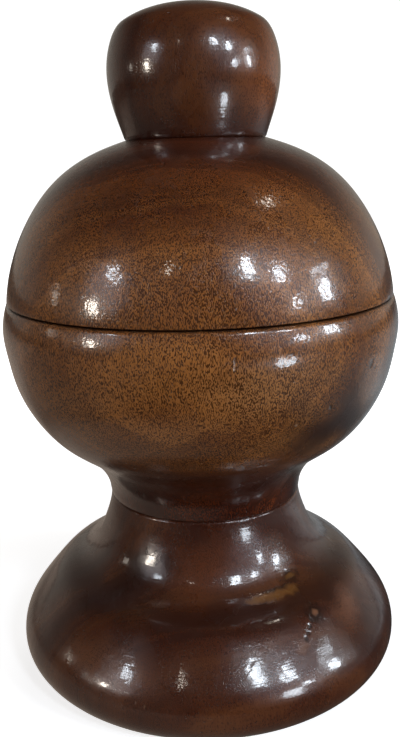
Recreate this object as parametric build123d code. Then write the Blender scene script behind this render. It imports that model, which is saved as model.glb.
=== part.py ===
from build123d import *

import os
from math import cos, radians

# Slam nutcracker turned from hardwood: a lid with a palm knob and a hanging striker is lifted
# straight off a bowl with an anvil, which stands on a flared pedestal.
# Millimetres. The turning axis is Z, and the origin is in the middle of the underside.

# ---------------------------------------------------------------- driving dimensions

pad_thickness = 1.5        # felt under the foot
pad_r = 54.0

base_height = 56.6         # wooden foot, from its underside to the neck seam
bowl_height = 67.1         # from the neck seam to the bowl's rim
dome_height = 48.0         # from the lid's rim to the seat of the knob
knob_height = 39.3

neck_r = 32.4              # where the bowl stands on the pedestal
globe_r = 62.0             # at the seam round the equator
knob_seat_r = 22.2
seam_relief = 0.45         # the edges of the two glued seams are eased by this much

rim_gap = 0.3              # the lid's rim sits this far above the bowl's
wood_gap = 0.1             # room for glue round a tenon
bore_gap = 0.25            # room round a bolt in its bore
screw_gap = 0.05           # room round a wood screw, which stands for its threads' bite

# Fit of the lid on the bowl: a raised ring inside the bowl's rim enters a rebate in the lid.
spigot_inner_r = 49.0
spigot_outer_r = 55.0
spigot_height = 5.0
spigot_chamfer = 0.8
spigot_side_gap = 0.35
rebate_depth = 5.3

# Hollow of the bowl
bowl_wall_straight = 8.0   # upright part of the wall, below the rim
bowl_depth = 38.0          # from the rim to the floor
anvil_r = 26.0
anvil_thickness = 3.0
anvil_dish_r = 16.0
anvil_dish_depth = 1.2

# Hollow of the lid
crown_flat_r = 20.0        # flat under the crown, where the striker's flange seats
crown_hollow_height = 29.0 # from the rebate's roof up to that flat

# Striker
closed_gap = 12.0          # between striker and anvil with the lid down
plate_edge_ease = 0.5      # worn edge of the anvil plate
striker_edge_ease = 0.8
striker_r = 19.0
striker_thickness = 4.0
striker_waist_r = 13.5
striker_flange_r = 19.5
striker_flange_height = 5.0
striker_drum_height = 17.0
drum_cove_height = 9.0     # curve from the drum up into the waist
flange_cove_height = 6.0   # curve from the waist up into the flange
tenon_r = 9.0              # striker tenon through the crown and into the knob
tenon_into_knob = 12.0
groove_pitch = 5.0
groove_width = 1.2
groove_depth = 0.7
groove_count = 7           # in each direction across the striker's face

# Neck joint
neck_tenon_r = 16.0
neck_tenon_length = 16.0
mortise_spare = 0.5        # empty depth at the end of a mortise

# Knob lag screw, 6 mm
lag_r = 3.0
lag_length = 84.0
lag_tip_r = 0.6
lag_tip_height = 6.0
lag_head_flats = 10.0
lag_head_height = 4.0
lag_washer_r = 6.2
lag_washer_thickness = 1.6
lag_counterbore_r = 7.0
lag_counterbore_depth = 9.0

# Neck stud, M8: its wood-screw end is in the bowl's tenon, and its nut is under the foot
stud_r = 4.0
stud_length = 62.0
stud_tip_r = 1.5
stud_tip_height = 6.0
stud_past_nut = 2.0
pilot_spare = 1.0          # empty depth past the stud's tip
nut_flats = 13.0
nut_height = 6.5
stud_washer_r = 8.0
stud_washer_thickness = 1.6
nut_counterbore_r = 11.0
nut_counterbore_depth = 18.0
hex_corner_ease = 0.9      # height of the turned bevel on a hexagon's corners

# Countersunk wood screws, 4 mm
screw_r = 2.0
screw_head_r = 3.8
screw_head_height = 2.4
screw_tip_height = 3.0
slot_width = 1.0
slot_depth = 1.1
slot_angle = 35.0
screws_per_plate = 3
anvil_screw_ring_r = 21.3
anvil_screw_length = 20.0
striker_screw_ring_r = 13.2
striker_screw_length = 18.0

# ---------------------------------------------------------------- turning templates
# Each is a list of (radius, height above the piece's own seat), read from the foot upwards.

base_cove = [
    (32.5, 55.2),          # just under the neck seam
    (34.9, 46.5),
    (39.2, 38.2),          # deepest bend of the cove
    (45.6, 33.2),          # where the cove turns into the bell
]
base_bell = [
    (45.6, 33.2),
    (50.3, 30.9),
    (55.0, 26.5),
    (60.4, 20.0),          # end of the long even slope
    (63.6, 15.2),
    (65.2, 8.8),           # widest
]
base_cove_start = (0.12, -1)     # directions of the outline
base_turn_slope = (1, -0.45)
base_bell_end = (0, -1)
base_foot_r = 58.4         # edge of the underside
base_foot_bulge = (63.4, 3.3)

bowl_side = [
    (32.7, 2.6),
    (34.1, 7.6),
    (39.6, 15.0),          # throat under the globe
    (49.1, 22.4),
    (57.0, 32.4),
    (61.2, 42.2),
    (63.0, 51.0),
    (63.8, 58.2),          # widest
]
bowl_start_slope = (0.1, 1)
bowl_end_slope = (0, 1)
bowl_shoulder = (63.3, 62.9)

dome_side = [
    (62.0, 0.0),
    (60.1, 10.0),
    (53.6, 25.0),
    (43.4, 37.4),
    (31.0, 44.9),
    (22.2, 48.0),
]
dome_start_slope = (-0.09, 1.0)
dome_end_slope = (-1.0, 0.31)

knob_side = [
    (22.2, 0.6),
    (25.0, 9.1),
    (26.65, 20.0),         # widest
    (25.1, 28.8),
    (21.4, 34.2),
]
knob_start_slope = (0.33, 1)
knob_shoulder_slope = (-1, 0.62)
knob_crown = (12.5, 37.9)
knob_top_slope = (-1, 0)

# ---------------------------------------------------------------- heights on the axis

base_z = pad_thickness
neck_z = base_z + base_height
rim_z = neck_z + bowl_height
lid_z = rim_z + rim_gap
knob_z = lid_z + dome_height
floor_z = rim_z - bowl_depth
anvil_seat_z = floor_z - anvil_thickness
crown_z = lid_z + rebate_depth + crown_hollow_height
striker_face_z = floor_z + closed_gap
striker_seat_z = striker_face_z + striker_thickness
lag_seat_z = striker_seat_z + lag_counterbore_depth
nut_seat_z = base_z + nut_counterbore_depth
nut_top_z = nut_seat_z - stud_washer_thickness
stud_low_z = nut_top_z - nut_height - stud_past_nut
stud_top_z = stud_low_z + stud_length

over = 1.0                 # a cutter runs past the face it cuts by this much

screw_angles = [360 / screws_per_plate * i + 90 for i in range(screws_per_plate)]


# ---------------------------------------------------------------- shape helpers

def faired(points, start, end):
    """Smooth outline through the stations of a template, with a direction at each end."""
    return Spline(points, tangents=[start, end], tangent_scalars=[1, 1])


def turned(outline):
    """Turn a closed outline, drawn as (radius, height), about the upright axis."""
    return revolve(Plane.XZ * make_face(outline), Axis.Z)


def quarter_ellipse(centre, width, height, start):
    """Quarter of an ellipse, from the start angle in degrees and on anticlockwise."""
    return EllipticalCenterArc(centre, width, height, start_angle=start, arc_size=90)


def rod(radius, low, high):
    """Upright cylinder on the axis between two heights."""
    return Pos(0, 0, low) * Cylinder(radius, high - low, align=(Align.CENTER, Align.CENTER, Align.MIN))


def hexagon(flats, low, height):
    """Upright hexagonal prism on the axis, with its top and bottom corners eased."""
    corner_r = flats / 2 / cos(radians(30))
    prism = extrude(Pos(0, 0, low) * RegularPolygon(corner_r, 6), height)
    eased = turned(Polyline(
        (0, low), (flats / 2, low), (corner_r, low + hex_corner_ease),
        (corner_r, low + height - hex_corner_ease), (flats / 2, low + height), (0, low + height),
        close=True))
    return prism & eased


def around(shape, ring_r):
    """Copies of a shape on a circle about the axis, one for each screw of a plate."""
    return [Rot(0, 0, angle) * Pos(ring_r, 0, 0) * shape for angle in screw_angles]


def countersunk_screw(length, gap=0.0, slotted=True):
    """Wood screw pointing down from the origin. With a gap it is the hole that it needs."""
    shank = screw_r + gap
    head = screw_head_r + gap
    body = turned(Polyline(
        (0, 0), (head, 0), (shank, -screw_head_height), (shank, screw_tip_height - length),
        (0, -length), close=True))
    if slotted:
        slot = Box(3 * screw_head_r, slot_width, 2 * slot_depth)
        body -= Rot(0, 0, slot_angle) * slot
    return body


# ---------------------------------------------------------------- pieces of the stand

def make_base():
    """Flared foot: cove under the neck, bell, and a rounded edge where it meets the table."""
    cove = faired(base_cove, base_cove_start, base_turn_slope)
    bell = faired(base_bell, base_turn_slope, base_bell_end)
    foot = ThreePointArc(base_bell[-1], base_foot_bulge, (base_foot_r, 0))
    mortise_floor = base_height - neck_tenon_length - mortise_spare
    lip = Polyline(
        (neck_tenon_r + wood_gap, base_height), (neck_r - seam_relief, base_height),
        (neck_r, base_height - seam_relief), base_cove[0])
    inside = Polyline(
        (base_foot_r, 0), (nut_counterbore_r, 0), (nut_counterbore_r, nut_counterbore_depth),
        (stud_r + bore_gap, nut_counterbore_depth), (stud_r + bore_gap, mortise_floor),
        (neck_tenon_r + wood_gap, mortise_floor),
        (neck_tenon_r + wood_gap, base_height))
    return Pos(0, 0, base_z) * turned(lip + cove + bell + foot + inside)


def make_bowl():
    """Lower half of the globe with its neck, tenon, rim spigot and hollow."""
    side = faired(bowl_side, bowl_start_slope, bowl_end_slope)
    shoulder = ThreePointArc(bowl_side[-1], bowl_shoulder, (globe_r, bowl_height))
    wall_foot = bowl_height - bowl_wall_straight
    floor = bowl_height - bowl_depth
    anvil_seat = floor - anvil_thickness
    recess_r = anvil_r + wood_gap
    pilot_r = stud_r + screw_gap
    pilot_top = stud_top_z + pilot_spare - neck_z
    neck = Polyline(
        (neck_tenon_r, 0), (neck_r - seam_relief, 0), (neck_r, seam_relief), bowl_side[0])
    spigot_top = bowl_height + spigot_height
    rim = Polyline(
        (globe_r, bowl_height), (spigot_outer_r, bowl_height),
        (spigot_outer_r, spigot_top - spigot_chamfer), (spigot_outer_r - spigot_chamfer, spigot_top),
        (spigot_inner_r + spigot_chamfer, spigot_top), (spigot_inner_r, spigot_top - spigot_chamfer),
        (spigot_inner_r, wall_foot))
    hollow = quarter_ellipse(
        (recess_r, wall_foot), spigot_inner_r - recess_r, bowl_depth - bowl_wall_straight, 270)
    below = Polyline(
        (recess_r, floor), (recess_r, anvil_seat), (0, anvil_seat), (0, pilot_top),
        (pilot_r, pilot_top), (pilot_r, -neck_tenon_length), (neck_tenon_r, -neck_tenon_length),
        (neck_tenon_r, 0))
    bowl = Pos(0, 0, neck_z) * turned(neck + side + shoulder + rim + hollow + below)
    hole = Pos(0, 0, floor_z) * countersunk_screw(anvil_screw_length, screw_gap, slotted=False)
    for place in around(hole, anvil_screw_ring_r):
        bowl -= place
    return bowl


def make_anvil_plate():
    """Steel plate in the floor of the bowl, with a shallow dish that centres the nut."""
    dish = ThreePointArc((0, -anvil_dish_depth), (anvil_dish_r / 2, -0.75 * anvil_dish_depth),
                         (anvil_dish_r, 0))
    edge = Polyline(
        (anvil_dish_r, 0), (anvil_r - plate_edge_ease, 0), (anvil_r, -plate_edge_ease),
        (anvil_r, -anvil_thickness), (0, -anvil_thickness), (0, -anvil_dish_depth))
    plate = Pos(0, 0, floor_z) * turned(dish + edge)
    hole = Pos(0, 0, floor_z) * countersunk_screw(anvil_screw_length, screw_gap, slotted=False)
    for place in around(hole, anvil_screw_ring_r):
        plate -= place
    return plate


def make_anvil_screws():
    """Screws that hold the anvil plate, with their heads flush."""
    screw = Pos(0, 0, floor_z) * countersunk_screw(anvil_screw_length)
    return Compound(children=around(screw, anvil_screw_ring_r))


def make_neck_stud():
    """Stud that draws the bowl down on the pedestal, with a point on its wood-screw end."""
    return turned(Polyline(
        (0, stud_low_z), (stud_r, stud_low_z), (stud_r, stud_top_z - stud_tip_height),
        (stud_tip_r, stud_top_z), (0, stud_top_z), close=True))


def make_neck_washer():
    """Washer over the stud's nut."""
    hole = rod(stud_r + bore_gap, nut_top_z - over, nut_seat_z + over)
    return rod(stud_washer_r, nut_top_z, nut_seat_z) - hole


def make_neck_nut():
    """Hex nut in the counterbore under the foot."""
    low = nut_top_z - nut_height
    return hexagon(nut_flats, low, nut_height) - rod(stud_r + screw_gap, low - over, nut_top_z + over)


def make_base_pad():
    """Felt disc that the object stands on."""
    return rod(pad_r, 0, pad_thickness)


# ---------------------------------------------------------------- pieces of the lid

def make_lid_dome():
    """Upper half of the globe: a thick cup with a rebate round its rim."""
    side = faired(dome_side, dome_start_slope, dome_end_slope)
    rebate_r = spigot_outer_r + spigot_side_gap
    crown = rebate_depth + crown_hollow_height
    bore = tenon_r + wood_gap
    top = Polyline(
        (knob_seat_r, dome_height), (bore, dome_height), (bore, crown), (crown_flat_r, crown))
    hollow = quarter_ellipse(
        (crown_flat_r, rebate_depth), spigot_inner_r - crown_flat_r, crown_hollow_height, 0)
    rim = Polyline(
        (spigot_inner_r, rebate_depth), (rebate_r, rebate_depth), (rebate_r, 0), (globe_r, 0))
    return Pos(0, 0, lid_z) * turned(side + top + hollow + rim)


def make_knob():
    """Palm knob: it swells upwards from a narrow foot and is crowned on top."""
    side = faired(knob_side, knob_start_slope, knob_shoulder_slope)
    crown = faired([knob_side[-1], knob_crown, (0, knob_height)], knob_shoulder_slope, knob_top_slope)
    socket_r = tenon_r + wood_gap
    socket_depth = tenon_into_knob + mortise_spare
    hole_top = lag_seat_z - lag_washer_thickness + lag_length + pilot_spare - knob_z
    hole_r = lag_r + screw_gap
    inside = Polyline(
        (0, knob_height), (0, hole_top), (hole_r, hole_top), (hole_r, socket_depth),
        (socket_r, socket_depth), (socket_r, 0), (knob_seat_r - seam_relief, 0), knob_side[0])
    return Pos(0, 0, knob_z) * turned(side + crown + inside)


def make_striker_block():
    """Wooden post that hangs from the crown: flange, waist, drum, and a tenon up to the knob."""
    bore = lag_r + bore_gap
    drum_top = striker_seat_z + striker_drum_height
    flange_low = crown_z - striker_flange_height
    tenon_top = knob_z + tenon_into_knob
    lower = Polyline(
        (bore, lag_seat_z), (lag_counterbore_r, lag_seat_z), (lag_counterbore_r, striker_seat_z),
        (striker_r, striker_seat_z), (striker_r, drum_top))
    waist_low = drum_top + drum_cove_height
    waist_high = flange_low - flange_cove_height
    drum_cove = quarter_ellipse(
        (striker_r, waist_low), striker_r - striker_waist_r, drum_cove_height, 180)
    waist = Line((striker_waist_r, waist_low), (striker_waist_r, waist_high))
    flange_cove = quarter_ellipse(
        (striker_flange_r, waist_high), striker_flange_r - striker_waist_r, flange_cove_height, 90)
    upper = Polyline(
        (striker_flange_r, flange_low), (striker_flange_r, crown_z), (tenon_r, crown_z),
        (tenon_r, tenon_top), (bore, tenon_top), (bore, lag_seat_z))
    block = turned(lower + drum_cove + waist + flange_cove + upper)
    hole = Pos(0, 0, striker_face_z) * Rot(180, 0, 0) * countersunk_screw(
        striker_screw_length, screw_gap, slotted=False)
    for place in around(hole, striker_screw_ring_r):
        block -= place
    return block


def make_striker_plate():
    """Steel striking face, cross-cut with shallow grooves so that a nut doesn't slip."""
    plate = turned(Polyline(
        (0, striker_face_z), (striker_r - striker_edge_ease, striker_face_z),
        (striker_r, striker_face_z + striker_edge_ease), (striker_r, striker_seat_z),
        (0, striker_seat_z), close=True))
    groove = Box(2 * (striker_r + over), groove_width, 2 * groove_depth)
    for i in range(groove_count):
        offset = (i - (groove_count - 1) / 2) * groove_pitch
        for turn in (0, 90):
            plate -= Rot(0, 0, turn) * Pos(0, offset, striker_face_z) * groove
    hole = Pos(0, 0, striker_face_z) * Rot(180, 0, 0) * countersunk_screw(
        striker_screw_length, screw_gap, slotted=False)
    for place in around(hole, striker_screw_ring_r):
        plate -= place
    return plate


def make_striker_screws():
    """Screws that hold the striker plate, with their heads flush."""
    screw = Pos(0, 0, striker_face_z) * Rot(180, 0, 0) * countersunk_screw(striker_screw_length)
    return Compound(children=around(screw, striker_screw_ring_r))


def make_knob_screw():
    """Lag screw that draws the knob down on the crown and holds the striker up."""
    head_top = lag_seat_z - lag_washer_thickness
    head = hexagon(lag_head_flats, head_top - lag_head_height, lag_head_height)
    tip = head_top + lag_length
    shank = turned(Polyline(
        (0, head_top - over), (lag_r, head_top - over), (lag_r, tip - lag_tip_height),
        (lag_tip_r, tip), (0, tip), close=True))
    return head + shank


def make_knob_washer():
    """Washer under the lag screw's head."""
    low = lag_seat_z - lag_washer_thickness
    return rod(lag_washer_r, low, lag_seat_z) - rod(lag_r + bore_gap, low - over, lag_seat_z + over)


# ---------------------------------------------------------------- write one STEP per piece

pieces = {
    "knob": make_knob,
    "lid_dome": make_lid_dome,
    "striker_block": make_striker_block,
    "striker_plate": make_striker_plate,
    "striker_screws": make_striker_screws,
    "knob_screw": make_knob_screw,
    "knob_washer": make_knob_washer,
    "bowl": make_bowl,
    "anvil_plate": make_anvil_plate,
    "anvil_screws": make_anvil_screws,
    "pedestal_base": make_base,
    "neck_stud": make_neck_stud,
    "neck_washer": make_neck_washer,
    "neck_nut": make_neck_nut,
    "base_pad": make_base_pad,
}

os.makedirs("parts", exist_ok=True)
for name, make in pieces.items():
    export_step(make(), os.path.join("parts", name + ".step"))
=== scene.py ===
import math

import bpy
import numpy as np
from mathutils import Matrix, Vector, noise


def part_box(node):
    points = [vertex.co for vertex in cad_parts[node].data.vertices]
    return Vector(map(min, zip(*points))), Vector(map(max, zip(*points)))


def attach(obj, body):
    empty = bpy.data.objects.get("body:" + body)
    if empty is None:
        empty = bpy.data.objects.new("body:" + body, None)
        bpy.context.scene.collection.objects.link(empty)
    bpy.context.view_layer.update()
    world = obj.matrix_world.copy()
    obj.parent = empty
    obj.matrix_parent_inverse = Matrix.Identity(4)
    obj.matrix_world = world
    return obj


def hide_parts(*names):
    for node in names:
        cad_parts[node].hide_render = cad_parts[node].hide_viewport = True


# Looks for a slam nutcracker turned from dark lacquered hardwood. Metres, in the frame of the
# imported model. The turning axis is Z. Outlines are (radius, height) in millimetres, each above
# its own piece's seat, like a turner's template. Colours are linear.

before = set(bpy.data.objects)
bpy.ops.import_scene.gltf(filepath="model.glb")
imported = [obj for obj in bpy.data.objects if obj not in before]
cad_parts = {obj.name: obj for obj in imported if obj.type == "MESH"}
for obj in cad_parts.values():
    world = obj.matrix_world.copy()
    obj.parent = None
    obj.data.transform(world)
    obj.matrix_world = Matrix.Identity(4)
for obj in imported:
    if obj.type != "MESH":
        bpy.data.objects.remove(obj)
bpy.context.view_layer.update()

MM = 0.001
SEGMENTS = 288            # round each turned piece
OUTSIDE_STEP = 0.9        # mm along a visible outline
HIDDEN_STEP = 2.5         # mm along an outline that is seen only with the lid off
ARRIS_POINTS = 4          # across each rounded corner
SIDE_SHARE = 2.2          # over 2, so that the rounding of two corners never meets
MERGE_WITHIN = 0.02       # mm between points of an outline that count as one
ON_AXIS = 0.01            # mm from the axis within which a point is a pole
SHARP_ANGLE = math.radians(35)

# ------------------------------------------------------------------ places, from the frame

foot_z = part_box("pedestal_base")[0].z
neck_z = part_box("pedestal_base")[1].z
lid_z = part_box("lid_dome")[0].z
knob_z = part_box("knob")[0].z
SPIGOT_HEIGHT = 5.0       # locating ring on the bowl, mm
rim_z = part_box("bowl")[1].z - SPIGOT_HEIGHT * MM
base_height = (neck_z - foot_z) / MM
bowl_height = (rim_z - neck_z) / MM
dome_height = (knob_z - lid_z) / MM
knob_height = (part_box("knob")[1].z - knob_z) / MM

# ------------------------------------------------------------------ turning templates

NECK_R = 32.4
GLOBE_R = 62.0
KNOB_SEAT_R = 22.2
SEAM_RELIEF = 0.45        # small bevel on each side of a glued seam
RIM_BEVEL = 0.3           # bevel where the lid meets the bowl
SPIGOT_R = (49.0, 55.0)   # inside and outside of the locating ring
REBATE_R = 55.35
REBATE_DEPTH = 5.3
ANVIL_R = 26.1
ANVIL_THICKNESS = 3.0
BOWL_DEPTH = 38.0
BOWL_WALL_STRAIGHT = 8.0
CROWN_FLAT_R = 20.0
CROWN_HOLLOW = 29.0
KNOB_TENON_R = 9.1        # hole for the striker's tenon, through the crown and up into the knob
KNOB_TENON_DEPTH = 12.5
KNOB_SCREW_R = 3.05
KNOB_SCREW_TOP = 25.0
NECK_TENON_R = 16.0       # tenon under the bowl, and its mortise in the foot
NECK_TENON_LENGTH = 16.0
NECK_MORTISE_R = 16.1
NECK_MORTISE_DEPTH = 16.5
STUD_SOCKET_R = 4.05
STUD_SOCKET_TOP = 14.3
STUD_HOLE_R = 4.25
COUNTERBORE_R = 11.0
COUNTERBORE_DEPTH = 18.0
UNDERSIDE_RING_R = 40.0   # extra ring that keeps the faces of the underside even
ARRIS = 0.3               # how far from a corner its rounding starts, inside,
SEAM_ARRIS = 0.35         # at the seams,
RIM_ARRIS = 0.8           # and at the bowl's rim

BASE_COVE = [(32.5, 55.2), (34.9, 46.5), (39.2, 38.2), (45.6, 33.2)]
BASE_BELL = [(45.6, 33.2), (50.3, 30.9), (55.0, 26.5), (60.4, 20.0), (63.6, 15.2), (65.2, 8.8)]
BASE_TURN = (1, -0.45)
BASE_FOOT_BULGE = (63.4, 3.3)
BASE_FOOT_R = 58.4
BOWL_SIDE = [(32.7, 2.6), (34.1, 7.6), (39.6, 15.0), (49.1, 22.4), (57.0, 32.4), (61.2, 42.2),
             (63.0, 51.0), (63.8, 58.2)]
BOWL_SHOULDER = (63.3, 62.9)
BOWL_EDGE = (GLOBE_R + 0.25, bowl_height - 0.45)
LID_EDGE = (GLOBE_R - 0.05, RIM_BEVEL)
LID_FACE = (GLOBE_R - 0.4, 0)
DOME_SIDE = [(62.0, 0.0), (60.1, 10.0), (53.6, 25.0), (43.4, 37.4), (31.0, 44.9), (22.2, 48.0)]
KNOB_SIDE = [(22.2, 0.6), (25.0, 9.1), (26.65, 20.0), (25.1, 28.8), (21.4, 34.2)]
KNOB_TURN = (-1, 0.62)
KNOB_CROWN = (12.5, 37.9)


# ------------------------------------------------------------------ outline helpers

def spline(points, start, end):
    """Smooth curve through points, with the given direction at each end."""
    p = np.array(points, float)
    h = np.hypot(*np.diff(p, axis=0).T)
    n = len(p)
    matrix, target = np.eye(n), np.zeros((n, 2))
    target[0] = np.array(start) / np.hypot(*start)
    target[-1] = np.array(end) / np.hypot(*end)
    for i in range(1, n - 1):
        before = h[i] / (h[i - 1] + h[i])
        matrix[i, i - 1:i + 2] = before, 2, 1 - before
        target[i] = 3 * (before * (p[i] - p[i - 1]) / h[i - 1]
                         + (1 - before) * (p[i + 1] - p[i]) / h[i])
    slope = np.linalg.solve(matrix, target)
    curve = []
    for i in range(n - 1):
        for t in np.linspace(0, 1, max(2, int(h[i] / OUTSIDE_STEP) + 1), endpoint=False):
            curve.append((2 * t**3 - 3 * t**2 + 1) * p[i] + (t**3 - 2 * t**2 + t) * h[i] * slope[i]
                         + (3 * t**2 - 2 * t**3) * p[i + 1] + (t**3 - t**2) * h[i] * slope[i + 1])
    return curve + [p[-1]]


def arc(start, middle, end):
    """Round stretch through three points."""
    (ax, ay), (bx, by), (cx, cy) = start, middle, end
    d = 2 * (ax * (by - cy) + bx * (cy - ay) + cx * (ay - by))
    sa, sb, sc = ax**2 + ay**2, bx**2 + by**2, cx**2 + cy**2
    ux = (sa * (by - cy) + sb * (cy - ay) + sc * (ay - by)) / d
    uy = (sa * (cx - bx) + sb * (ax - cx) + sc * (bx - ax)) / d
    radius = math.hypot(ax - ux, ay - uy)
    first, last = math.atan2(ay - uy, ax - ux), math.atan2(cy - uy, cx - ux)
    sweep = (last - first + math.pi) % (2 * math.pi) - math.pi
    count = max(3, int(abs(sweep) * radius / OUTSIDE_STEP) + 1)
    return [np.array((ux + radius * math.cos(first + sweep * i / count),
                      uy + radius * math.sin(first + sweep * i / count))) for i in range(count + 1)]


def quarter(centre, width, height, first, last):
    """Quarter of an ellipse between two angles in degrees."""
    count = max(6, int(max(width, height) * math.pi / 2 / HIDDEN_STEP))
    angles = np.radians(np.linspace(first, last, count + 1))
    return [np.array((centre[0] + width * math.cos(a), centre[1] + height * math.sin(a)))
            for a in angles]


def eased(points, radius):
    """Straight runs with each corner rounded, as sandpaper and lacquer leave an arris."""
    p = [np.array(q, float) for q in points]
    out = [p[0]]
    for before, corner, after in zip(p, p[1:], p[2:]):
        a, b = before - corner, after - corner
        reach = min(radius, np.hypot(*a) / SIDE_SHARE, np.hypot(*b) / SIDE_SHARE)
        first, last = corner + a / np.hypot(*a) * reach, corner + b / np.hypot(*b) * reach
        for t in np.linspace(0, 1, ARRIS_POINTS):
            out.append((1 - t)**2 * first + 2 * t * (1 - t) * corner + t**2 * last)
    return out + [p[-1]]


def lathe(name, outline, seat, shape):
    """Turned mesh from a closed outline in mm above its seat. shape() moves each point."""
    ring = []
    for r, z in outline:
        if not ring or math.hypot(r - ring[-1][0], z - ring[-1][1]) > MERGE_WITHIN:
            ring.append((max(r, 0.0), z))
    if math.hypot(ring[0][0] - ring[-1][0], ring[0][1] - ring[-1][1]) < MERGE_WITHIN:
        ring.pop()
    verts, rows = [], []
    for r, z in ring:
        height = seat + z * MM
        if r < ON_AXIS:
            rows.append([len(verts)] * SEGMENTS)
            verts.append(Vector((0, 0, height)))
            continue
        rows.append(list(range(len(verts), len(verts) + SEGMENTS)))
        for i in range(SEGMENTS):
            a = 2 * math.pi * i / SEGMENTS
            verts.append(shape(Vector((r * MM * math.cos(a), r * MM * math.sin(a), height))))
    faces = []
    for low, high in zip(rows, rows[1:] + rows[:1]):
        for i in range(SEGMENTS):
            j = (i + 1) % SEGMENTS
            corners = [low[i], low[j], high[j], high[i]]
            corners = [c for k, c in enumerate(corners) if c != corners[k - 1]]
            if len(corners) > 2:
                faces.append(corners)
    mesh = bpy.data.meshes.new(name)
    mesh.from_pydata(verts, [], faces)
    mesh.shade_smooth()
    mesh.set_sharp_from_angle(angle=SHARP_ANGLE)
    obj = bpy.data.objects.new(name, mesh)
    bpy.context.scene.collection.objects.link(obj)
    return obj


# ------------------------------------------------------------------ hand-worked surface

BROAD_WAVE = (26, 26, 11)      # mm per wave across and along the axis
FINE_WAVE = (9, 9, 4)
FINE_DEPTH = 0.02              # mm
CORE_R = 5.0                   # mm; holes smaller than this keep nearly their true size


def hand_worked(seed, depth=0.10):
    """Slight waves that a gouge and sandpaper leave, always inwards. depth is in mm."""
    def waves(p, lengths, shift):
        return 0.5 + 0.5 * noise.noise(Vector((p.x / lengths[0], p.y / lengths[1],
                                               p.z / lengths[2] + shift)))

    def shape(point):
        p = point / MM
        inward = depth * waves(p, BROAD_WAVE, seed) + FINE_DEPTH * waves(p, FINE_WAVE, 3 * seed)
        keep = 1 - inward / max(math.hypot(p.x, p.y), CORE_R)
        return Vector((point.x * keep, point.y * keep, point.z))
    return shape


# ------------------------------------------------------------------ turned pieces

def make_foot():
    mortise_floor = base_height - NECK_MORTISE_DEPTH
    outside = (eased([(NECK_MORTISE_R, base_height), (NECK_R - SEAM_RELIEF, base_height),
                      (NECK_R, base_height - SEAM_RELIEF), BASE_COVE[0]], SEAM_ARRIS)
               + spline(BASE_COVE, (0.12, -1), BASE_TURN)
               + spline(BASE_BELL, BASE_TURN, (0, -1))
               + arc(BASE_BELL[-1], BASE_FOOT_BULGE, (BASE_FOOT_R, 0)))
    inside = eased([(BASE_FOOT_R, 0), (UNDERSIDE_RING_R, 0), (COUNTERBORE_R, 0),
                    (COUNTERBORE_R, COUNTERBORE_DEPTH), (STUD_HOLE_R, COUNTERBORE_DEPTH),
                    (STUD_HOLE_R, mortise_floor), (NECK_MORTISE_R, mortise_floor),
                    (NECK_MORTISE_R, base_height)], ARRIS)
    return lathe("foot_turned", outside + inside, foot_z, hand_worked(2.0))


def make_bowl():
    floor = bowl_height - BOWL_DEPTH
    recess = floor - ANVIL_THICKNESS
    top = bowl_height + SPIGOT_HEIGHT
    wall_end = bowl_height - BOWL_WALL_STRAIGHT
    neck = eased([(NECK_TENON_R, 0), (NECK_R - SEAM_RELIEF, 0), (NECK_R, SEAM_RELIEF), BOWL_SIDE[0]],
                 SEAM_ARRIS)
    side = spline(BOWL_SIDE, (0.1, 1), (0, 1))
    shoulder = arc(BOWL_SIDE[-1], BOWL_SHOULDER, BOWL_EDGE)
    rim = eased([BOWL_EDGE, (GLOBE_R - RIM_BEVEL, bowl_height), (SPIGOT_R[1], bowl_height),
                 (SPIGOT_R[1], top), (SPIGOT_R[0], top), (SPIGOT_R[0], wall_end)], RIM_ARRIS)
    hollow = quarter((ANVIL_R, wall_end), SPIGOT_R[0] - ANVIL_R, BOWL_DEPTH - BOWL_WALL_STRAIGHT, 0, -90)
    below = eased([(ANVIL_R, floor), (ANVIL_R, recess), (0, recess), (0, STUD_SOCKET_TOP),
                   (STUD_SOCKET_R, STUD_SOCKET_TOP), (STUD_SOCKET_R, -NECK_TENON_LENGTH),
                   (NECK_TENON_R, -NECK_TENON_LENGTH), (NECK_TENON_R, 0)], ARRIS)
    return lathe("bowl_turned", neck + side + shoulder + rim + hollow + below, neck_z, hand_worked(5.0))


def make_lid():
    crown = REBATE_DEPTH + CROWN_HOLLOW
    side = spline(DOME_SIDE, (-0.09, 1.0), (-1.0, 0.31))
    side[0] = np.array(LID_EDGE)
    top = eased([(KNOB_SEAT_R, dome_height), (KNOB_TENON_R, dome_height), (KNOB_TENON_R, crown),
                 (CROWN_FLAT_R, crown)], ARRIS)
    hollow = quarter((CROWN_FLAT_R, REBATE_DEPTH), SPIGOT_R[0] - CROWN_FLAT_R, CROWN_HOLLOW, 90, 0)
    rim = eased([(SPIGOT_R[0], REBATE_DEPTH), (REBATE_R, REBATE_DEPTH), (REBATE_R, 0),
                 LID_FACE, LID_EDGE], SEAM_ARRIS)
    return lathe("lid_turned", side + top + hollow + rim, lid_z, hand_worked(9.0))


def make_knob():
    side = spline(KNOB_SIDE, (0.33, 1), KNOB_TURN)
    crown = spline([KNOB_SIDE[-1], KNOB_CROWN, (0, knob_height)], KNOB_TURN, (-1, 0))
    inside = eased([(0, KNOB_SCREW_TOP), (KNOB_SCREW_R, KNOB_SCREW_TOP),
                    (KNOB_SCREW_R, KNOB_TENON_DEPTH), (KNOB_TENON_R, KNOB_TENON_DEPTH),
                    (KNOB_TENON_R, 0), (KNOB_SEAT_R - SEAM_RELIEF, 0), KNOB_SIDE[0]], SEAM_ARRIS)
    return lathe("knob_turned", side + crown + inside, knob_z, hand_worked(13.0, 0.06))


# ------------------------------------------------------------------ node helpers

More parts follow.
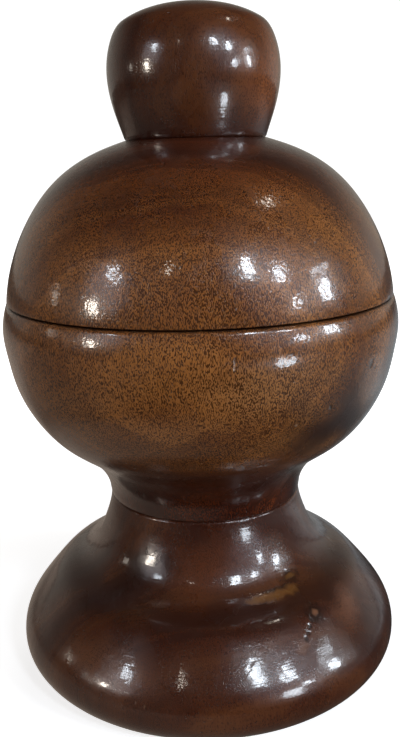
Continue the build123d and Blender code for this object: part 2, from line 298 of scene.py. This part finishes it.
class Nodes:
    """Small helper that adds shader nodes and joins them by socket."""

    def __init__(self, tree):
        self.tree = tree
        tree.nodes.clear()

    def add(self, kind, inputs=None, **settings):
        node = self.tree.nodes.new(kind)
        for key, value in settings.items():
            setattr(node, key, value)
        for key, value in (inputs or {}).items():
            self.put(node.inputs[key], value)
        return node

    def put(self, socket, value):
        if isinstance(value, bpy.types.NodeSocket):
            self.tree.links.new(value, socket)
        else:
            socket.default_value = value

    def millimetres(self):
        """Object coordinates in mm, which are the frame's own."""
        place = self.add("ShaderNodeTexCoord").outputs["Object"]
        return self.vector("MULTIPLY", place, (1 / MM, 1 / MM, 1 / MM))

    def math(self, operation, a, b):
        return self.add("ShaderNodeMath", {0: a, 1: b}, operation=operation).outputs[0]

    def weighted(self, *terms):
        """Sum of values, each given with its weight."""
        total = 0.0
        for value, weight in terms:
            total = self.math("ADD", total, self.math("MULTIPLY", value, weight))
        return total

    def vector(self, operation, a, b=(0, 0, 0)):
        node = self.add("ShaderNodeVectorMath", {0: a, 1: b}, operation=operation)
        return node.outputs["Value" if operation in ("LENGTH", "DISTANCE", "DOT_PRODUCT") else "Vector"]

    def noise(self, vector, scale, detail=2.0, rough=0.5, distortion=0.0):
        node = self.add("ShaderNodeTexNoise", {"Vector": vector, "Scale": scale, "Detail": detail,
                                               "Roughness": rough, "Distortion": distortion})
        return node.outputs[0]

    def noise_line(self, w, scale, detail=2.0, rough=0.5):
        node = self.add("ShaderNodeTexNoise", {"W": w, "Scale": scale, "Detail": detail,
                                               "Roughness": rough}, noise_dimensions="1D")
        return node.outputs[0]

    def wander(self, vector, scale):
        """Smooth random offset, from -0.5 to 0.5 each way."""
        node = self.add("ShaderNodeTexNoise", {"Vector": vector, "Scale": scale, "Detail": 2.0})
        return self.vector("SUBTRACT", node.outputs["Color"], (0.5, 0.5, 0.5))

    def ramp(self, value, stops):
        node = self.add("ShaderNodeValToRGB", {0: value})
        while len(node.color_ramp.elements) < len(stops):
            node.color_ramp.elements.new(0.5)
        for element, (place, colour) in zip(node.color_ramp.elements, stops):
            element.position = place
            element.color = (*colour, 1)
        return node.outputs[0]

    def between(self, value, low, high, out_low=0.0, out_high=1.0, smooth=True):
        node = self.add("ShaderNodeMapRange", {0: value, 1: low, 2: high, 3: out_low, 4: out_high},
                        interpolation_type="SMOOTHSTEP" if smooth else "LINEAR")
        return node.outputs[0]

    def mix(self, factor, a, b, blend="MIX"):
        """Mix of two colours, each a socket or an (r, g, b)."""
        a, b = (c if isinstance(c, bpy.types.NodeSocket) else (*c, 1) for c in (a, b))
        node = self.add("ShaderNodeMix", {0: factor, 6: a, 7: b}, data_type="RGBA", blend_type=blend)
        return node.outputs[2]

    def bump(self, height, strength, distance):
        node = self.add("ShaderNodeBump", {"Strength": strength, "Distance": distance, "Height": height})
        return node.outputs[0]

    def finish(self, shader):
        self.add("ShaderNodeOutputMaterial", {0: shader.outputs[0]})


def new_material(name):
    material = bpy.data.materials.new(name)
    material.use_nodes = True
    return material, Nodes(material.node_tree)


# ------------------------------------------------------------------ wood

# Scales along three axes are in waves per mm, the last along the grain.
SEED_STEP = (37.0, -21.0, 53.0)       # mm between the stretches of noise that two woods use
BANDS_PER_MM = 0.12                   # growth bands
LINES_PER_BAND = 6                    # fine lines in them
LATE_PER_BAND, LATE_OFFSET = 2.2, 90.0    # dark edges. An offset in mm reads the noise elsewhere
OPEN_PER_BAND, OPEN_OFFSET = 1.1, 40.0    # places where the pores crowd
HEART_WOOD = (-10, 55)                # mm past the turning axis, from the pith, over which it pales
TRUNK_BENDS = (((0.016, 0.016, 0.024), 14.0), ((0.08, 0.08, 0.06), 3.0))   # scale, mm sideways
BROAD_FIGURE = (0.035, 0.035, 0.022)
FIBRES = (2.2, 2.2, 0.10)
PORES = (4.2, 4.2, 1.30)
PORE_BENDS = ((0.35, 0.35, 0.12), 1.6)
PORE_LEVEL = (0.68, 0.47)             # noise level above which a pore opens, in tight and open bands
PORE_EDGE = (-0.02, 0.05)             # noise about that level over which a pore darkens
SMEARS = (0.06, 0.06, 0.03)
WOOD_RELIEF = 0.12 * MM
LACQUER_RELIEF = 0.06 * MM
DENT_DEPTH = 6.0                      # of a full dent, against the lacquer's own waves
PAINTED_SHADE_TINT = (0.36, 0.19, 0.14)            # painted shade: the share of the colour beneath that it lets through
PATCH_FADE = (0.1, 1.3)               # where a patch starts to fade and ends, in parts of its size
WORN_FADE = (0.25, 1.15)
PATCH_WAVES = 0.07                    # waves per mm of a patch's edge, which flows with the grain
WORN_WAVES = 0.45                     # the same for a worn place, which is ragged
EDGE_SHARE = 1.5                      # how far an edge wanders, in parts of the size
EDGE_SIZE = 20                        # mm of size above which it wanders no further


def on_surface(azimuth, radius, height):
    """Point in mm. Azimuth 0 faces the camera, and 90 is towards +X."""
    a = math.radians(azimuth)
    return (radius * math.sin(a), -radius * math.cos(a), height)


def drift(n, here, waves, amount):
    """Smooth sideways drift of the grain, in mm."""
    return n.vector("MULTIPLY", n.wander(n.vector("MULTIPLY", here, waves), 1.0), (amount, amount, 0))


def blot(n, mm, place, size, edge, fade):
    """Mask round a place on the surface, with an edge that wanders."""
    across, tall = size
    size = (across, across, tall)
    edge = n.vector("MULTIPLY", edge, tuple(EDGE_SHARE * min(a, EDGE_SIZE) for a in size))
    offset = n.vector("SUBTRACT", n.vector("ADD", mm, edge), on_surface(*place))
    reach = n.vector("LENGTH", n.vector("MULTIPLY", offset, tuple(1 / a for a in size)))
    return n.between(reach, *fade, 1.0, 0.0)


def growth(n, mm, here, pith):
    """Distance in mm from the pith, which growth bands follow: wavy along the trunk."""
    for bend in TRUNK_BENDS:
        mm = n.vector("ADD", mm, drift(n, here, *bend))
    return n.vector("LENGTH", n.vector("MULTIPLY", n.vector("SUBTRACT", mm, (*pith, 0)), (1, 1, 0)))


def plain_wood(n, here, distance, fibre, shades, pith, heart, late_lines):
    """Colour of growth bands, fibres and broad figure."""
    bands = n.noise_line(distance, BANDS_PER_MM, 2.0, 0.5)
    lines = n.noise_line(distance, BANDS_PER_MM * LINES_PER_BAND, 2.0, 0.6)
    figure = n.noise(n.vector("MULTIPLY", here, BROAD_FIGURE), 1.0, 3.0, 0.55, 0.5)
    middle = math.hypot(*pith)
    outer = n.between(distance, middle + HEART_WOOD[0], middle + HEART_WOOD[1], -heart, heart * 0.5)
    tone = n.weighted((bands, 0.55), (figure, 0.45), (n.math("SUBTRACT", lines, 0.5), 0.22),
                      (n.math("SUBTRACT", fibre, 0.5), 0.40), (outer, 1.0))
    colour = n.ramp(tone, [(0.30, shades[0]), (0.50, shades[1]), (0.72, shades[2])])
    late = n.noise_line(n.math("ADD", distance, LATE_OFFSET), BANDS_PER_MM * LATE_PER_BAND, 1.0)
    return n.mix(n.math("MULTIPLY", n.between(late, 0.60, 0.66), late_lines), colour, shades[0])


def vessels(n, here, distance, crowd):
    """Mask of the pores, which show as dashes on a wall and as worm marks on a slope."""
    wavy = n.vector("ADD", here, drift(n, here, *PORE_BENDS))
    open_bands = n.noise_line(n.math("ADD", distance, OPEN_OFFSET), BANDS_PER_MM * OPEN_PER_BAND, 2.0)
    crowded = n.between(open_bands, 0.40, 0.58, *crowd)
    level = n.between(crowded, 0.0, 1.0, *PORE_LEVEL, smooth=False)
    pore = n.noise(n.vector("MULTIPLY", wavy, PORES), 1.0, 0.0)
    return n.between(n.math("SUBTRACT", pore, level), *PORE_EDGE)


def lacquer_skin(n, here, height, pores, dents, ripple, peel):
    """Normal of the lacquer, which is a little uneven and sinks into pores and dents."""
    dust = n.noise(here, 1.7, 3.0, 0.7)
    orange_peel = n.noise(here, 0.75, 1.0, 0.5)
    turning_rings = n.noise_line(height, 0.45, 3.0, 0.6)
    wobble = n.noise(here, 0.16, 2.0, 0.5)
    skin = n.weighted((pores, -0.14 * peel), (dust, 0.11), (orange_peel, 0.75 * peel),
                      (turning_rings, 0.45 * ripple), (wobble, 1.6 * ripple), (dents, -DENT_DEPTH))
    return n.bump(skin, 1.0, LACQUER_RELIEF)


def turned_wood(name, shades, pore_shade, pith, seed, heart=0.0, crowd=(0.25, 1.0), late_lines=0.45,
                pore_depth=0.85, ripple=1.0, peel=1.0, painted_shade_heights=(), figure_and_painted_light=(), marks=(), lacquer=1.0):
    """Open-pored hardwood with its grain upright, as if cut from one solid block.

    shades are its dark, middle and light colours. pith is where the tree's middle was, in mm from
    the turning axis. heart is how much darker the wood is towards the pith. crowd is how much the
    pores show in the tight and in the open bands. late_lines is how dark the edges of the bands
    are. ripple is how uneven the lacquer lies and peel is its orange peel. painted_shade_heights are
    heights in mm between which a painted shade fades in. figure_and_painted_light and marks are
    tables like the ones below; the first holds patches of wood figure and of painted light and shade.
    """
    material, n = new_material(name)
    mm = n.millimetres()
    here = n.vector("ADD", mm, tuple(seed * step for step in SEED_STEP))
    height = n.add("ShaderNodeSeparateXYZ", {0: mm}).outputs[2]
    distance = growth(n, mm, here, pith)
    fibre = n.noise(n.vector("MULTIPLY", here, FIBRES), 1.0, 3.0, 0.65)
    colour = plain_wood(n, here, distance, fibre, shades, pith, heart, late_lines)

    flowing = n.wander(here, PATCH_WAVES)
    # Patches of wood figure, and of painted light and shade.
    for place, size, shade, strength in figure_and_painted_light:
        mask = blot(n, mm, place, size, flowing, PATCH_FADE)
        colour = n.mix(n.math("MULTIPLY", mask, strength), colour, shade)

    pores = vessels(n, here, distance, crowd)
    colour = n.mix(n.math("MULTIPLY", pores, pore_depth), colour, pore_shade)
    # Painted shade, which fades in between two heights.
    for full, clear in painted_shade_heights:
        colour = n.mix(n.between(height, full, clear, 1.0, 0.0), colour, PAINTED_SHADE_TINT, "MULTIPLY")

    ragged = n.wander(here, WORN_WAVES)
    dents = []
    for place, size, shade, strength, dent in marks:
        mask = blot(n, mm, place, size, ragged, WORN_FADE)
        colour = n.mix(n.math("MULTIPLY", mask, strength), colour, shade)
        dents.append((mask, dent))

    smear = n.noise(n.vector("MULTIPLY", here, SMEARS), 1.0, 3.0, 0.6)
    relief = n.weighted((pores, -0.8), (fibre, 0.3))
    shader = n.add("ShaderNodeBsdfPrincipled")
    n.put(shader.inputs["Base Color"], colour)
    n.put(shader.inputs["Roughness"], n.between(smear, 0.3, 0.75, 0.22, 0.34))
    n.put(shader.inputs["Normal"], n.bump(relief, 0.8, WOOD_RELIEF))
    n.put(shader.inputs["Coat Normal"],
          lacquer_skin(n, here, height, pores, n.weighted(*dents), ripple, peel))
    shader.inputs["Specular IOR Level"].default_value = 0.3
    shader.inputs["Coat Weight"].default_value = lacquer
    shader.inputs["Coat Roughness"].default_value = 0.085
    shader.inputs["Coat IOR"].default_value = 1.5
    n.finish(shader)
    return material


# ------------------------------------------------------------------ figure, wear, and painted light and shade

# Dark of nicks and chips, also used for the painted shade in the seam.
NICK_AND_SEAM_SHADE = (0.012, 0.005, 0.003)
SCRAPE = (0.42, 0.26, 0.16)
AMBER = (0.240, 0.098, 0.020)
# Golden used for patches of painted light and for sheen round highlights.
GOLDEN_SHEEN = (0.46, 0.20, 0.065)
KNOT = (0.010, 0.004, 0.002)
PITH = (0.260, 0.110, 0.055)

# Each row is a place as (azimuth, radius, height), a size as (across, tall) in mm, a colour and
# a strength. A row of marks ends with how deep it is dented, and less than 0 stands proud.
# Patches on the golden wood: figure, painted light and painted shade.
GOLDEN_FIGURE_AND_PAINTED_LIGHT = (
    ((42.0, 60.0, 96.0), (24.0, 13.5), (0.024, 0.009, 0.006), 0.96),     # bowl, low on the right: painted shade and a painted dark reflection
    ((74.0, 62.0, 106.0), (17.0, 20.0), (0.060, 0.020, 0.009), 0.85),    # bowl, right edge: painted shade
    ((17.0, 62.5, 107.0), (20.0, 11.0), GOLDEN_SHEEN, 0.70),                   # bowl, front: painted halo of light round the highlight
    ((-36.0, 61.0, 101.0), (17.0, 11.0), GOLDEN_SHEEN, 0.45),                  # bowl, left: painted light
    ((45.0, 53.0, 152.0), (20.0, 14.0), GOLDEN_SHEEN, 0.20))                   # dome, right: painted light on the side that faces the windows
GOLDEN_MARKS = (
    ((0.0, 0.0, 125.3), (200.0, 0.5), NICK_AND_SEAM_SHADE, 0.85, 0.0),                  # painted shade in the seam
    ((49.5, 63.6, 110.0), (1.3, 1.8), NICK_AND_SEAM_SHADE, 0.9, 1.0),                   # nicks in the bowl
    ((52.5, 63.5, 108.2), (0.8, 1.2), NICK_AND_SEAM_SHADE, 0.8, 1.0),
    ((66.0, 63.3, 109.5), (1.1, 0.8), NICK_AND_SEAM_SHADE, 1.0, 1.0),
    ((35.1, 61.2, 100.4), (0.7, 1.0), NICK_AND_SEAM_SHADE, 0.9, 1.0),
    ((24.8, 60.2, 97.0), (0.6, 0.5), SCRAPE, 0.6, 0.4),
    ((65.0, 62.0, 125.9), (2.6, 0.7), NICK_AND_SEAM_SHADE, 0.9, 0.8),                   # chip in the lid's rim
    ((7.6, 63.8, 116.5), (0.35, 2.4), SCRAPE, 0.45, 0.3),                # scratches
    ((8.4, 63.8, 111.5), (0.30, 1.6), SCRAPE, 0.35, 0.3))
DARK_FIGURE_AND_PAINTED_LIGHT = (
    ((65.0, 26.0, 191.0), (18.0, 25.0), (0.290, 0.085, 0.022), 0.85),    # knob, right: lighter wood and painted light on the side that faces the windows
    ((0.0, 6.0, 212.0), (22.0, 12.0), (0.260, 0.080, 0.025), 0.65),      # knob, top: painted light
    ((0.0, 0.0, 174.0), (60.0, 8.0), (0.035, 0.006, 0.003), 0.80),       # knob, seat: painted shade and dark reflection where the knob meets the dome
    ((0.0, 0.0, 34.0), (75.0, 5.5), (0.014, 0.003, 0.0015), 0.95),       # ring round the foot: painted dark reflection of the bowl above
    ((-33.0, 37.5, 42.0), (14.0, 8.0), (0.016, 0.004, 0.002), 0.90),     # neck, left: painted shade
    ((0.0, 36.0, 46.0), (12.0, 8.0), (0.150, 0.040, 0.012), 0.60),       # neck, front
    ((0.0, 0.0, 2.5), (90.0, 11.0), (0.220, 0.074, 0.028), 0.50),        # foot, near the table: painted reflection of the lit table
    ((-30.0, 61.5, 20.0), (16.0, 8.0), (0.210, 0.080, 0.034), 0.65),     # bell, left: painted light round the highlights
    ((53.0, 54.9, 28.1), (9.0, 5.0), (0.210, 0.085, 0.045), 0.75),       # bell, by the knot
    ((55.0, 62.0, 18.0), (12.0, 8.0), (0.035, 0.010, 0.006), 0.70))      # bell, right
STREAK = ((20.0, 0.8), (25.5, 1.3), (31.0, 1.6), (36.5, 1.2))            # azimuth, how tall
CRACK = ((36.3, 53.1, 29.9), (34.6, 54.2, 28.9), (33.0, 55.2, 27.8), (31.6, 56.0, 26.9))
DARK_MARKS = (
    *(((azimuth, 43.4, 35.9), (3.8, tall), AMBER, 0.50, -0.1) for azimuth, tall in STREAK),
    ((31.0, 42.3, 36.9), (7.0, 0.6), KNOT, 0.70, 0.3),                   # line above the streak
    ((40.5, 40.4, 38.3), (5.4, 1.9), KNOT, 0.80, 0.4),                   # eye at its right end
    ((40.5, 40.6, 38.3), (3.2, 0.8), AMBER, 0.50, -0.3),
    ((39.4, 52.3, 30.9), (4.2, 3.6), KNOT, 0.85, 0.4),                   # knot
    ((39.4, 52.3, 31.1), (1.7, 1.2), PITH, 0.80, -0.3),
    *((place, (1.0, 1.6), KNOT, 0.75, 0.4) for place in CRACK),          # crack below the knot
    ((29.3, 57.4, 25.2), (3.2, 2.2), PITH, 0.35, 0.2),
    ((-20.0, 64.0, 14.5), (0.40, 1.5), SCRAPE, 0.40, 0.2),               # scratches
    ((-17.5, 64.2, 14.0), (0.35, 1.2), SCRAPE, 0.40, 0.2))


# ------------------------------------------------------------------ metal and felt

SCRATCHES = (4.0, 0.15, 4.0)          # per mm
STEEL_RELIEF = 0.05 * MM
DULL = 0.60                           # brightness of stained steel, in parts of the clean
FELT_RELIEF = 0.3 * MM
FELT_SHADES = ((0.25, 0.5), (0.75, 1.6))   # brightness of the matted fibres at two noise levels
LINT = (0.35, 0.36, 0.33)
LINT_SIZE = (3, 0.5, 1)               # per mm


def worked_steel(name, colour, rough):
    """Turned or plated steel with fine scratches and a little staining."""
    material, n = new_material(name)
    mm = n.millimetres()
    across = n.vector("LENGTH", n.vector("MULTIPLY", mm, (1, 1, 0)))
    rings = n.noise_line(across, 6.0, 3.0, 0.7)
    stain = n.noise(mm, 0.12, 4.0, 0.6)
    scratch = n.noise(n.vector("MULTIPLY", mm, SCRATCHES), 1.0, 3.0, 0.6)
    dull = tuple(DULL * c for c in colour)
    shade = n.mix(n.between(stain, 0.45, 0.75, 0.0, 0.7), colour, dull)
    shade = n.mix(n.between(scratch, 0.6, 0.8, 0.0, 0.5), shade, dull)
    shader = n.add("ShaderNodeBsdfPrincipled")
    n.put(shader.inputs["Base Color"], shade)
    n.put(shader.inputs["Roughness"], n.between(stain, 0.3, 0.8, rough, rough + 0.2))
    n.put(shader.inputs["Normal"], n.bump(n.weighted((rings, 0.6), (scratch, 0.4)), 0.35, STEEL_RELIEF))
    shader.inputs["Metallic"].default_value = 1.0
    n.finish(shader)
    return material


def pressed_felt(name, colour):
    """Wool felt: matted fibres and lint."""
    material, n = new_material(name)
    mm = n.millimetres()
    mat = n.noise(mm, 1.3, 6.0, 0.75, 1.2)
    lint = n.noise(n.vector("MULTIPLY", mm, LINT_SIZE), 1.0, 3.0, 0.7, 2.0)
    shade = n.ramp(mat, [(level, tuple(bright * c for c in colour)) for level, bright in FELT_SHADES])
    shader = n.add("ShaderNodeBsdfPrincipled")
    n.put(shader.inputs["Base Color"], n.mix(n.between(lint, 0.66, 0.74, 0.0, 0.5), shade, LINT))
    n.put(shader.inputs["Normal"], n.bump(mat, 0.8, FELT_RELIEF))
    shader.inputs["Roughness"].default_value = 0.95
    shader.inputs["Sheen Weight"].default_value = 0.4
    n.finish(shader)
    return material


# ------------------------------------------------------------------ camera, floor and light

CAMERA_DISTANCE = 0.2605              # m in front of the turning axis
CAMERA_ABOVE_SEAM = 0.0425            # m
CAMERA_PITCH = math.radians(-14.78)
CAMERA_YAW = -0.0023                  # radians
CAMERA_ROLL = 0.0283
CAMERA_LENS = 39.1                    # mm
CAMERA_SENSOR = 36

FLOOR_LEVEL = -0.0002                 # just under the felt, so that the two faces don't coincide
FLOOR_RADIUS = 8.0
FLOOR_SHADES = [(0.3, (0.80, 0.80, 0.80)), (0.7, (0.84, 0.84, 0.84))]
CONTACT_REACH = (0.055, 0.30)         # m from the turning axis over which the floor lightens out of its painted contact shadow
CONTACT_SHADE = (0.74, 1.10)
PAPER_AT = (0.25, 0.11, 0)            # pale patch of table that the foot's right side reflects
LAMP_TINT = (1.0, 0.82, 0.68)
SKY_TINT = (0.86, 0.95, 1.0)
WHITE = (1, 1, 1)

LIGHT_CENTRE = 0.12                   # m above the table, which the lights stand round and face
LIGHT_DISTANCE = 1.2                  # m from there
DAYLIGHT = (0.82, 0.91, 1.0)
WARM = (1.0, 0.90, 0.78)
PANES = ((1.5, 0.7), (0.6, 1.2))      # brightness of the four panes, as clouds and trees leave it
PANE_SHARE = 0.50                     # width and height of a pane, in parts of the window's
# Name, azimuth, elevation, width and height in m, radiance and colour of each light.
WINDOWS = (
    ("window_front_right", 29.5, 32, (0.16, 0.20), 38, DAYLIGHT),
    ("window_right", 48, 25.5, (0.15, 0.17), 36, DAYLIGHT),
    ("window_far_right", 74, 11.5, (0.15, 0.18), 38, DAYLIGHT),
    ("window_top_right", 75, 20.5, (0.26, 0.025), 30, DAYLIGHT),
    ("window_low_right", 55, 9.5, (0.12, 0.11), 34, DAYLIGHT),
    ("window_left", -60.5, 8.5, (0.12, 0.14), 42, WARM),
    ("window_high_left", -52, 26, (0.13, 0.10), 26, DAYLIGHT))
LAMPS = (
    ("window_far_left", -88, 9, (0.10, 0.12), 5, WARM),
    ("lamp_front", -18, 33, (0.04, 0.05), 36, WARM),
    ("lamp_over", 77, 58, (0.07, 0.07), 26, WARM))
GLINT = ("glint_low", 41.6, -12.1, (0.050, 0.050), 17, DAYLIGHT)         # under the bowl's right
GLINT_DISTANCE = 0.31                 # near enough to stand above the table
FILL = ("fill_back", 180, 24, (0.80, 0.50), 3.0, WHITE)

ROOM_DIM = (0.050, 0.040, 0.033)
WALL_BEHIND = (0.30, 0.275, 0.24)
CEILING = (0.030, 0.024, 0.020)
UNDER_TABLE = (0.030, 0.025, 0.020)
ROOM_GLOW = (                         # azimuth, elevation, reach in degrees, colour
    (48, 20, 30, (0.60, 0.53, 0.60)),
    (78, 16, 20, (0.55, 0.50, 0.45)),
    (-56, 19, 16, (1.40, 1.30, 1.40)),
    (118, -10, 34, (0.13, 0.145, 0.16)))
BACKDROP = 1.1                        # strength of the white that the camera sees


def make_camera():
    data = bpy.data.cameras.new("camera")
    data.lens = CAMERA_LENS
    data.sensor_width = CAMERA_SENSOR
    camera = bpy.data.objects.new("camera", data)
    bpy.context.scene.collection.objects.link(camera)
    forward = Vector((math.sin(CAMERA_YAW) * math.cos(CAMERA_PITCH),
                      math.cos(CAMERA_YAW) * math.cos(CAMERA_PITCH), math.sin(CAMERA_PITCH)))
    right = Vector((math.cos(CAMERA_YAW), -math.sin(CAMERA_YAW), 0))
    up = right.cross(forward)
    side = right * math.cos(CAMERA_ROLL) - up * math.sin(CAMERA_ROLL)
    top = right * math.sin(CAMERA_ROLL) + up * math.cos(CAMERA_ROLL)
    turn = Matrix((side, top, -forward)).transposed().to_4x4()
    place = Vector((0, -CAMERA_DISTANCE, lid_z + CAMERA_ABOVE_SEAM))
    camera.matrix_world = Matrix.Translation(place) @ turn
    bpy.context.scene.camera = camera


def table_glow(n, place):
    """Brightness of the table in the lacquer: lit close to the foot, at the sides and behind."""
    away = n.vector("LENGTH", place)
    spot = n.add("ShaderNodeSeparateXYZ", {0: place})
    near = n.math("MULTIPLY", n.between(away, 0.12, 0.20, 1.0, 0.0),
                  n.between(spot.outputs[0], -0.06, 0.06, 0.26, 0.04))
    right = n.between(spot.outputs[0], 0.07, 0.20, 0.0, 0.20)
    left = n.between(spot.outputs[0], -0.20, -0.07, 0.15, 0.0)
    back = n.between(spot.outputs[1], 0.03, 0.20, 0.0, 0.32)
    beyond = n.math("MAXIMUM", n.math("MAXIMUM", left, right), back)
    beyond = n.math("MULTIPLY", beyond, n.between(away, 0.5, 1.4, 1.0, 0.15))
    paper = n.between(n.vector("DISTANCE", place, PAPER_AT), 0.04, 0.14, 0.50, 0.0)
    return n.math("MAXIMUM", near, n.math("MAXIMUM", beyond, paper))


def make_floor():
    """Pale floor to the camera, and a dimmer table in reflections."""
    bpy.ops.mesh.primitive_circle_add(vertices=128, radius=FLOOR_RADIUS, fill_type="NGON",
                                      location=(0, 0, FLOOR_LEVEL))
    floor = bpy.context.object
    floor.name = "floor"
    material, n = new_material("pale_floor")
    place = n.add("ShaderNodeTexCoord").outputs["Object"]
    seen = n.add("ShaderNodeLightPath").outputs["Is Camera Ray"]
    shade = n.ramp(n.noise(place, 3.0, 3.0, 0.5), FLOOR_SHADES)
    # Painted contact shadow round the foot, in the glow that the camera sees.
    pale = n.between(n.vector("LENGTH", place), *CONTACT_REACH, *CONTACT_SHADE)
    across = n.add("ShaderNodeSeparateXYZ", {0: place}).outputs[0]
    tint = n.mix(n.between(across, -0.05, 0.15), LAMP_TINT, SKY_TINT)
    glow = n.add("ShaderNodeMix", {0: seen, 2: table_glow(n, place), 3: pale}).outputs[0]
    shader = n.add("ShaderNodeBsdfPrincipled")
    n.put(shader.inputs["Base Color"], n.mix(seen, (0, 0, 0), shade))
    n.put(shader.inputs["Emission Color"], n.mix(seen, tint, WHITE))
    n.put(shader.inputs["Emission Strength"], glow)
    shader.inputs["Roughness"].default_value = 0.8
    shader.inputs["Specular IOR Level"].default_value = 0.0
    n.finish(shader)
    floor.data.materials.append(material)
    floor.visible_diffuse = False


def towards(azimuth, elevation):
    """Unit vector. Azimuth 0 is on the camera's side, and 90 is towards +X."""
    a, e = math.radians(azimuth), math.radians(elevation)
    return Vector((math.sin(a) * math.cos(e), -math.cos(a) * math.cos(e), math.sin(e)))


def softbox(name, azimuth, elevation, size, radiance, colour, distance=LIGHT_DISTANCE):
    """Oval area light that faces the object."""
    data = bpy.data.lights.new(name, "AREA")
    data.shape = "ELLIPSE"
    data.size, data.size_y = size
    data.energy = radiance * math.pi * (size[0] * size[1] * math.pi / 4)
    data.color = colour
    light = bpy.data.objects.new(name, data)
    bpy.context.scene.collection.objects.link(light)
    away = towards(azimuth, elevation)
    light.location = Vector((0, 0, LIGHT_CENTRE)) + away * distance
    light.rotation_euler = away.to_track_quat("Z", "Y").to_euler()
    return light


def window(name, azimuth, elevation, size, radiance, colour):
    """Window of four panes with a frame between them."""
    half_wide, half_high = (math.degrees(length / 2 / LIGHT_DISTANCE) for length in size)
    pane = (size[0] * PANE_SHARE, size[1] * PANE_SHARE)
    for row, across in enumerate(PANES):
        for column, share in enumerate(across):
            softbox(f"{name}_{row}{column}", azimuth + (column - 0.5) * half_wide,
                    elevation + (0.5 - row) * half_high, pane, radiance * share, colour)


def make_lights():
    for values in WINDOWS:
        window(*values)
    for values in LAMPS:
        softbox(*values)
    softbox(*GLINT, distance=GLINT_DISTANCE)
    softbox(*FILL).visible_glossy = False


def make_world():
    """Dim room with a pale wall behind the object, and white to the camera."""
    world = bpy.data.worlds.new("room")
    bpy.context.scene.world = world
    world.use_nodes = True
    n = Nodes(world.node_tree)
    look = n.add("ShaderNodeTexCoord").outputs["Generated"]
    way = n.add("ShaderNodeSeparateXYZ", {0: look})
    room = n.mix(n.between(way.outputs[1], 0.02, 0.60), ROOM_DIM, WALL_BEHIND)
    room = n.mix(n.between(way.outputs[2], 0.10, 0.75), room, CEILING)
    room = n.mix(n.between(way.outputs[2], -0.60, -0.25, 1.0, 0.0), room, UNDER_TABLE)
    for azimuth, elevation, reach, colour in ROOM_GLOW:
        facing = n.vector("DOT_PRODUCT", look, towards(azimuth, elevation))
        near = n.between(facing, math.cos(math.radians(reach)), 1.0)
        room = n.mix(near, room, colour, "ADD")
    lit = n.add("ShaderNodeBackground", {"Color": room, "Strength": 1.0})
    white = n.add("ShaderNodeBackground", {"Color": (*WHITE, 1), "Strength": BACKDROP})
    seen = n.add("ShaderNodeLightPath").outputs["Is Camera Ray"]
    both = n.add("ShaderNodeMixShader", {0: seen, 1: lit.outputs[0], 2: white.outputs[0]})
    n.add("ShaderNodeOutputWorld", {0: both.outputs[0]})


# ------------------------------------------------------------------ put it together

def dress(obj, material):
    obj.data.materials.clear()
    obj.data.materials.append(material)


# The golden wood's painted shade darkens the neck under the bowl and the top of the dome under the knob.
golden = turned_wood(
    "golden_wood", [(0.135, 0.034, 0.008), (0.290, 0.100, 0.022), (0.450, 0.172, 0.043)],
    (0.038, 0.011, 0.004), (14, 88), 1.0, heart=0.12, crowd=(0.72, 1.0),
    painted_shade_heights=((72, 90), (173, 141)), figure_and_painted_light=GOLDEN_FIGURE_AND_PAINTED_LIGHT, marks=GOLDEN_MARKS)
dark = turned_wood(
    "dark_wood", [(0.046, 0.010, 0.004), (0.078, 0.020, 0.007), (0.125, 0.040, 0.013)],
    (0.026, 0.006, 0.003), (-30, 85), 2.0, crowd=(0.15, 0.75), late_lines=0.2, pore_depth=0.6,
    ripple=1.5, peel=0.45, figure_and_painted_light=DARK_FIGURE_AND_PAINTED_LIGHT, marks=DARK_MARKS)
bare = turned_wood(
    "bare_wood", [(0.16, 0.075, 0.035), (0.25, 0.13, 0.065), (0.36, 0.21, 0.11)],
    (0.09, 0.04, 0.02), (30, 60), 3.0, lacquer=0.0)
plate = worked_steel("plate_steel", (0.66, 0.66, 0.67), 0.30)
zinc = worked_steel("screw_steel", (0.62, 0.60, 0.54), 0.28)
felt = pressed_felt("felt", (0.035, 0.085, 0.045))

for make, node, body, slot, material in (
        (make_foot, "pedestal_base", "stand", "dark_wood", dark),
        (make_bowl, "bowl", "stand", "golden_wood", golden),
        (make_lid, "lid_dome", "lid", "golden_wood", golden),
        (make_knob, "knob", "lid", "dark_wood", dark)):
    piece = make()
    dress(piece, material)
    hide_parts(node)
    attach(piece, body)

for node, material in (
        ("striker_block", bare), ("striker_plate", plate), ("anvil_plate", plate),
        ("striker_screws", zinc), ("anvil_screws", zinc), ("knob_screw", zinc), ("knob_washer", zinc),
        ("neck_stud", zinc), ("neck_washer", zinc), ("neck_nut", zinc), ("base_pad", felt)):
    dress(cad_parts[node], material)

make_camera()
make_floor()
make_lights()
make_world()
bpy.context.scene.view_settings.view_transform = "Standard"
